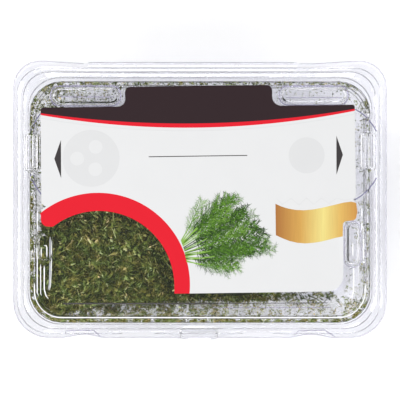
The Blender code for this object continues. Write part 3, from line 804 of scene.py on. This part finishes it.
def paper_grain_group():
    """Fine fibre grain and faint clouding of coated paper, for colour, gloss and relief."""
    group, entry, leave = group_with(
        "paper_grain",
        [("Ink", "Color"), ("Cloud", "Float")],
        [("Color", "Color"), ("Roughness", "Float"), ("Height", "Float")],
    )
    fibre = noise_of(group, 2600, 4)
    cloud = noise_of(group, 130)
    shade = colour_mix(group, "MULTIPLY")
    gloss = group.nodes.new("ShaderNodeMapRange")
    gloss.inputs["To Min"].default_value = 0.32
    gloss.inputs["To Max"].default_value = 0.46
    group.links.new(entry.outputs["Cloud"], shade.inputs[SHARE])
    group.links.new(entry.outputs["Ink"], shade.inputs[FIRST])
    group.links.new(cloud.outputs["Fac"], shade.inputs[SECOND])
    group.links.new(shade.outputs[MIXED], leave.inputs["Color"])
    group.links.new(fibre.outputs["Fac"], gloss.inputs["Value"])
    group.links.new(gloss.outputs["Result"], leave.inputs["Roughness"])
    group.links.new(fibre.outputs["Fac"], leave.inputs["Height"])
    return group


paper_grain = paper_grain_group()


def printed(name, colour, cloud=0.03):
    """Coated paper in one ink."""
    material = bpy.data.materials.new(name)
    tree = nodes_of(material)
    paper = tree.nodes.new("ShaderNodeBsdfPrincipled")
    paper.inputs["Specular IOR Level"].default_value = 0.3
    grain = tree.nodes.new("ShaderNodeGroup")
    grain.node_tree = paper_grain
    grain.inputs["Ink"].default_value = (*colour, 1)
    grain.inputs["Cloud"].default_value = cloud
    tree.links.new(grain.outputs["Color"], paper.inputs["Base Color"])
    tree.links.new(grain.outputs["Roughness"], paper.inputs["Roughness"])
    bumped(tree, grain.outputs["Height"], paper, 0.15, 0.02 * MM)
    tree.links.new(paper.outputs["BSDF"], tree.nodes["Material Output"].inputs["Surface"])
    return material


GOLDEN_STEP = 0.618


def sheet_of(name, outlines, low, thick, finish, stagger=0.0):
    """Flat shapes cut from a sheet, lying turned on the lid as the label does, some a hair over others."""
    shape = bmesh.new()
    cos, sin = math.cos(LABEL_TURN), math.sin(LABEL_TURN)
    for number, outline in enumerate(outlines):
        base = low + stagger * (number * GOLDEN_STEP % 1)
        turned = [((x * cos - y * sin) * MM, (x * sin + y * cos) * MM) for x, y in outline]
        foot = [shape.verts.new((x, y, base)) for x, y in turned]
        head = [shape.verts.new((x, y, base + thick)) for x, y in turned]
        skin(shape, [foot, head])
    piece = placed(name, mesh_of(name, shape, finish))
    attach(piece, "lid")
    return piece


def print_flat(name, outlines, finish, layer=1.0, stagger=0.0):
    """Ink on the face of the label."""
    sheet_of(name, outlines, LABEL_HIGH[2] + (layer - 1) * INK + INK_GAP, INK, finish, stagger)


LABEL_TOP_CORNERS = [
    (-50.55, 30.25, 1.5), (-23.5, 30.25, 2.4), (-23.5, 36.5, 1.8),
    (23.55, 36.5, 1.8), (23.55, 29.8, 2.9), (49.9, 29.8, 1.4),
]
LABEL_RIGHT_LUG = [(49.9, -1.6, 0.4), (50.3, -4.4, 1.2), (49.7, -7.1, 1.3), (45.6, -7.5, 1.3)]
WINDOW_EDGE = [(WINDOW[0] + WINDOW_RADIUS, LABEL_FOOT)] + arc(WINDOW, WINDOW_RADIUS, 0, 120, 96)
TONGUE = [(-47.2, -7.9, 1.2), (-51.0, -7.75, 2.3), (-50.95, -4.2, 0.4)]
LEFT_NOTCH = [(-50.8, -2.4, 0.4), (-49.3, -1.4), (-50.75, -0.4, 0.4)]

label = sheet_of(
    "label_paper",
    [rounded(
        LABEL_TOP_CORNERS + [(49.9, 0.4), (48.9, -0.6)] + LABEL_RIGHT_LUG + [(45.5, LABEL_FOOT, 5.2)]
        + WINDOW_EDGE + TONGUE + LEFT_NOTCH
    )],
    LABEL_LOW[2],
    LABEL_HIGH[2] - LABEL_LOW[2],
    printed("white_label_paper", (0.722, 0.726, 0.732)),
)
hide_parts("label")

dark_ink = printed("dark_head_ink", (0.027, 0.014, 0.017))
red_ink = printed("red_ink", (0.72, 0.0105, 0.025))
grey_ink = printed("dark_grey_ink", (0.045, 0.040, 0.042))
# The pale grey finish prints the discs and the tear line, and paints a shadow line under the red stripe.
pale_print_and_painted_shadow = printed("pale_grey_print_and_painted_shadow", (0.674, 0.678, 0.684))
white_ink = printed("white_ink", (0.715, 0.719, 0.725))

BAND_RADIUS = 320


def sagging(middle, left, right, steps=48):
    """A shallow hanging arc across the label, from left to right."""
    points = []
    for i in range(steps + 1):
        x = left + (right - left) * i / steps
        points.append((x, middle + BAND_RADIUS - math.sqrt(BAND_RADIUS ** 2 - (x + 0.3) ** 2)))
    return points


band_foot = sagging(24.5, -50.55, 49.9)
band_ends = [(x, y, min(radius, 0.8) if abs(x) > 49 else radius) for x, y, radius in LABEL_TOP_CORNERS]
print_flat("head_band", [rounded(band_ends + band_foot[::-1])], dark_ink)
stripe = [(x, y - 1.35 + 0.75 * (x / 50.5) ** 2) for x, y in band_foot]
print_flat("red_stripe", [stripe + band_foot[::-1]], red_ink)
# A thin pale grey line under the red stripe is a painted shadow.
painted_shadow_under_stripe = [(x, y - 0.9) for x, y in stripe]
print_flat("painted_shadow_under_stripe", [painted_shadow_under_stripe + [(x, y - 0.2) for x, y in painted_shadow_under_stripe][::-1]], pale_print_and_painted_shadow)
outer_arc = arc(ARC_MIDDLE, ARC_RADIUS, 128.2, -6.3, 96)
print_flat("window_arc", [rounded(WINDOW_EDGE + TONGUE + outer_arc)], red_ink)
print_flat("arrows", [
    [(-46.4, 13.85), (-44.3, 7.6), (-44.2, 19.8)],
    [(45.9, 13.85), (43.9, 19.95), (43.75, 7.5)],
], grey_ink)
print_flat("pale_discs", [
    arc((-34.65, 13.8), 9.1, 0, 354, 59),
    arc((34.3, 13.8), 5.75, 0, 354, 59),
], pale_print_and_painted_shadow)
HOLE_MIDDLES = ((-33.15, 17.45), (-39.1, 13.8), (-33.35, 10.3))
print_flat("disc_holes", [arc(middle, 2.2, 0, 350, 35) for middle in HOLE_MIDDLES], white_ink, 2)


def stroke(start, end, start_width, end_width):
    """A straight tapering line between two points."""
    way = (Vector(end) - Vector(start)).normalized()
    side = Vector((-way.y, way.x))
    return [
        tuple(Vector(start) + side * start_width / 2),
        tuple(Vector(start) - side * start_width / 2),
        tuple(Vector(end) - side * end_width / 2),
        tuple(Vector(end) + side * end_width / 2),
    ]


RULE_WIDTH, TEAR_WIDTH = 0.27, 0.16
print_flat("rule", [stroke((-16.2, 14.05), (15.3, 14.05), RULE_WIDTH, RULE_WIDTH)], grey_ink)
TEAR_LINE = [
    (24.6, 0.1), (26.3, -1.8), (29.1, 0.1), (31.7, -2.0), (34.0, 0.2), (36.4, -1.9), (38.7, 0.1),
    (41.3, -1.7), (43.6, 0.0), (46.2, -0.7), (49.0, -0.2),
]
tear_strokes = [stroke(*ends, TEAR_WIDTH, TEAR_WIDTH) for ends in zip(TEAR_LINE, TEAR_LINE[1:])]
print_flat("tear_line", tear_strokes, pale_print_and_painted_shadow)


RIBBON_LEFT, RIBBON_RIGHT = 24.2, 50.3
GOLD_TONES = [
    (0.0, (0.42, 0.17, 0.045)),
    (0.30, (0.66, 0.37, 0.09)),
    (0.58, (0.85, 0.72, 0.25)),
    (0.80, (0.72, 0.45, 0.12)),
    (1.0, (0.60, 0.29, 0.07)),
]


def gold_foil(name):
    """Printed gold that runs from bronze through pale gold to bronze, finely brushed."""
    material = bpy.data.materials.new(name)
    tree = nodes_of(material)
    foil = tree.nodes.new("ShaderNodeBsdfPrincipled")
    foil.inputs["Roughness"].default_value = 0.42
    foil.inputs["Specular IOR Level"].default_value = 0.3
    place = tree.nodes.new("ShaderNodeTexCoord")
    parts = tree.nodes.new("ShaderNodeSeparateXYZ")
    span = tree.nodes.new("ShaderNodeMapRange")
    span.inputs["From Min"].default_value = RIBBON_LEFT * MM
    span.inputs["From Max"].default_value = RIBBON_RIGHT * MM
    fade = colour_stops(tree, GOLD_TONES)
    stretch = tree.nodes.new("ShaderNodeMapping")
    stretch.inputs["Scale"].default_value = (1, 0.05, 1)
    brushed = tree.nodes.new("ShaderNodeTexNoise")
    brushed.inputs["Scale"].default_value = 2200
    shade = colour_mix(tree, "MULTIPLY")
    shade.inputs[SHARE].default_value = 0.18
    links = tree.links
    links.new(place.outputs["Object"], parts.inputs["Vector"])
    links.new(parts.outputs["X"], span.inputs["Value"])
    links.new(span.outputs["Result"], fade.inputs["Fac"])
    links.new(place.outputs["Object"], stretch.inputs["Vector"])
    links.new(stretch.outputs["Vector"], brushed.inputs["Vector"])
    links.new(fade.outputs["Color"], shade.inputs[FIRST])
    links.new(brushed.outputs["Fac"], shade.inputs[SECOND])
    links.new(shade.outputs[MIXED], foil.inputs["Base Color"])
    bumped(tree, brushed.outputs["Fac"], foil, 0.2, 0.02 * MM)
    links.new(foil.outputs["BSDF"], tree.nodes["Material Output"].inputs["Surface"])
    return material


RIBBON_TOP = [
    (24.1, -1.55), (26.0, -2.45), (28.2, -3.15), (30.6, -3.6), (33.2, -3.75),
    (36.0, -3.55), (38.9, -3.05), (42.3, -2.3), (46.0, -1.45), (48.4, -1.2),
]
RIBBON_FOOT = [
    (45.5, -12.25), (43.2, -12.7), (40.9, -13.3), (38.5, -13.85), (36.0, -14.2),
    (33.4, -14.35), (30.8, -14.1), (28.4, -13.5), (26.2, -12.6), (24.1, -11.6),
]
ribbon = rounded(RIBBON_TOP + LABEL_RIGHT_LUG + RIBBON_FOOT)
print_flat("gold_ribbon", [ribbon], gold_foil("gold_foil"), 2)

SPRIG_INKS = [
    printed("deep_green_ink", (0.014, 0.029, 0.009)),
    printed("green_ink", (0.040, 0.098, 0.013)),
    printed("leaf_green_ink", (0.112, 0.262, 0.028)),
    printed("light_green_ink", (0.250, 0.455, 0.075)),
]


def hair(root, angle, length, width):
    """A thread of leaf: a thin wedge from its root to its tip."""
    tip = root + Vector((math.cos(angle), math.sin(angle))) * length
    side = Vector((-math.sin(angle), math.cos(angle))) * width / 2
    return [tuple(root + side), tuple(root - side), tuple(tip)]


SIDE_STALK_STEP = 0.75
STALK_WIDTH = 0.36
BACK_THREAD, FRONT_THREAD = 0.36, 0.14


def spray(foot, heading, length, bend, reach, strokes, tone):
    """A stalk of a feathery leaf: paired side stalks, each with threads, sorted by ink into strokes."""
    steps = int(length / SIDE_STALK_STEP)
    thread = BACK_THREAD if tone == 0 else FRONT_THREAD
    here = Vector(foot)
    for i in range(steps):
        share = i / steps
        way = Vector((math.cos(heading), math.sin(heading)))
        ahead = here + way * length / steps
        thick = STALK_WIDTH * (1 - 0.8 * share)
        ink = 3 if share < 0.3 and tone else max(tone, 1)
        strokes[ink].append(stroke(here, ahead, thick, thick * 0.95))
        full = ramp(share, 0.14, 0.40) * (1 - 0.45 * ramp(share, 0.8, 1.0))
        paler = tone + 1.1 * (share - 0.45)
        for side in (1, -1):
            if full < 0.1:
                continue
            lean = heading + side * math.radians(draw.uniform(22, 58))
            out = reach * full * draw.uniform(0.55, 1.15)
            along = Vector((math.cos(lean), math.sin(lean)))
            ink = int(np.clip(round(paler + draw.normal(0, 0.6)), 0, 3))
            strokes[ink].append(hair(here, lean, out, thread))
            for k in np.arange(0.25, 1.0, 0.55 / max(out, 0.6)):
                for turn in (1, -1):
                    angle = lean + turn * math.radians(draw.uniform(18, 50))
                    ink = int(np.clip(round(paler + draw.normal(0, 0.65)), 0, 3))
                    root = here + along * out * k
                    strokes[ink].append(hair(root, angle, draw.uniform(0.6, 1.5), thread * 0.8))
        here = ahead
        heading += bend / steps


# Sprays, from the back ones to the front ones: foot, heading in degrees, length, bend, reach, tone
SPRAYS = [
    ((-5.0, -17.6), 6, 26.5, 2, 3.4, 0), ((-5.2, -16.2), 22, 25.0, -6, 3.8, 0),
    ((-5.9, -14.0), 40, 21.0, 6, 3.6, 0), ((-4.8, -18.6), -8, 16.5, 0, 3.0, 0),
    ((-5.5, -15.2), 32, 23.5, -4, 3.6, 0), ((-5.1, -16.9), 14, 26.5, 0, 3.6, 0),
    ((-5.4, -15.6), 27, 23.0, 10, 3.6, 0), ((-5.0, -17.4), 2, 22.0, 2, 3.2, 0),
    ((-6.1, -13.4), 52, 18.5, -8, 3.0, 1), ((-5.8, -14.2), 36, 24.0, 8, 3.2, 1),
    ((-4.9, -18.0), 12, 27.5, -2, 3.0, 1), ((-4.7, -19.0), 5, 29.0, 2, 2.8, 1),
    ((-5.9, -13.8), 47, 21.5, -4, 3.0, 1), ((-4.6, -19.4), -17, 14.5, 2, 2.5, 1),
    ((-5.3, -16.0), 26, 25.5, 2, 3.0, 1), ((-4.9, -18.2), -5, 19.0, 6, 2.7, 1),
    ((-6.2, -13.0), 59, 15.0, 6, 2.5, 2), ((-4.6, -19.6), -12, 17.5, 8, 2.5, 2),
    ((-5.1, -16.8), 17, 22.0, 8, 2.8, 2), ((-6.0, -13.6), 42, 23.0, -6, 2.8, 1),
    ((-5.0, -17.2), 8, 20.0, -10, 2.6, 1), ((-5.7, -14.6), 31, 20.0, 12, 2.6, 2),
]
strokes = [[], [], [], []]
for foot, heading, length, bend, reach, tone in SPRAYS:
    spray(foot, math.radians(heading), length, math.radians(bend), reach, strokes, tone)
THREAD_STAGGER = 0.012 * MM
for number, name in enumerate(("deep", "green", "leaf", "light")):
    layer = 1 + number * 1.5
    print_flat(f"sprig_{name}_threads", strokes[number], SPRIG_INKS[number], layer, THREAD_STAGGER)


# Hinge web
# The folded strip of the same clear sheet along the back, formed in one with both halves. It runs
# from the lid's back edge over the tray's rolled fold.
WEB_LEFT, WEB_RIGHT = -36.0, 31.0
WEB_OUTER = [
    (42.1, 20.84), (42.8, 20.92), (43.2, 21.10), (43.6, 21.18), (43.95, 21.08), (44.16, 20.86),
    (44.26, 20.55),
]
WEB_INNER = [
    (42.1, 20.77), (42.8, 20.85), (43.17, 21.03), (43.57, 21.11), (43.92, 21.01), (44.13, 20.79),
    (44.23, 20.55),
]
web_shape = bmesh.new()
sections = []
for x in np.linspace(WEB_LEFT, WEB_RIGHT, 25):
    ring = WEB_OUTER + WEB_INNER[::-1]
    sections.append([web_shape.verts.new((x * MM, y * MM, z * MM)) for y, z in ring])
skin(web_shape, sections)
hinge_web = placed("hinge_web", mesh_of("hinge_web", web_shape, lid_sheet))
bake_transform(hinge_web)


# Stage
# A white matt table, a hair under the pack, lit by four large soft lamps round it and by a pale room,
# as for a plain product picture.
TABLE_HALF = 1.5
floor_finish = bpy.data.materials.new("white_table")
floor_finish.use_nodes = True
matt = floor_finish.node_tree.nodes["Principled BSDF"]
matt.inputs["Base Color"].default_value = (0.93, 0.93, 0.935, 1)
matt.inputs["Roughness"].default_value = 0.7
table_shape = bmesh.new()
bmesh.ops.create_grid(table_shape, x_segments=1, y_segments=1, size=TABLE_HALF)
floor = placed("floor", mesh_of("floor", table_shape, floor_finish))
floor.location.z = -0.05 * MM

world = bpy.data.worlds.new("studio")
bpy.context.scene.world = world
world.use_nodes = True
room = world.node_tree.nodes["Background"]
room.inputs["Color"].default_value = (1, 1, 1, 1)
room.inputs["Strength"].default_value = 0.24

# Name, place, size and power of each lamp
SOFTBOXES = [
    ("left_softbox", (-0.85, 0.10, 0.75), 0.6, 7.4),
    ("right_softbox", (0.85, 0.0, 0.75), 0.6, 4.9),
    ("back_softbox", (-0.15, 0.85, 0.75), 0.5, 2.7),
    ("front_softbox", (0.0, -0.85, 0.75), 0.5, 5.3),
]
for name, place, size, power in SOFTBOXES:
    lamp = bpy.data.lights.new(name, "AREA")
    lamp.size = size
    lamp.energy = power
    holder = bpy.data.objects.new(name, lamp)
    holder.location = place
    holder.rotation_euler = (-Vector(place)).to_track_quat("-Z", "Y").to_euler()
    bpy.context.collection.objects.link(holder)
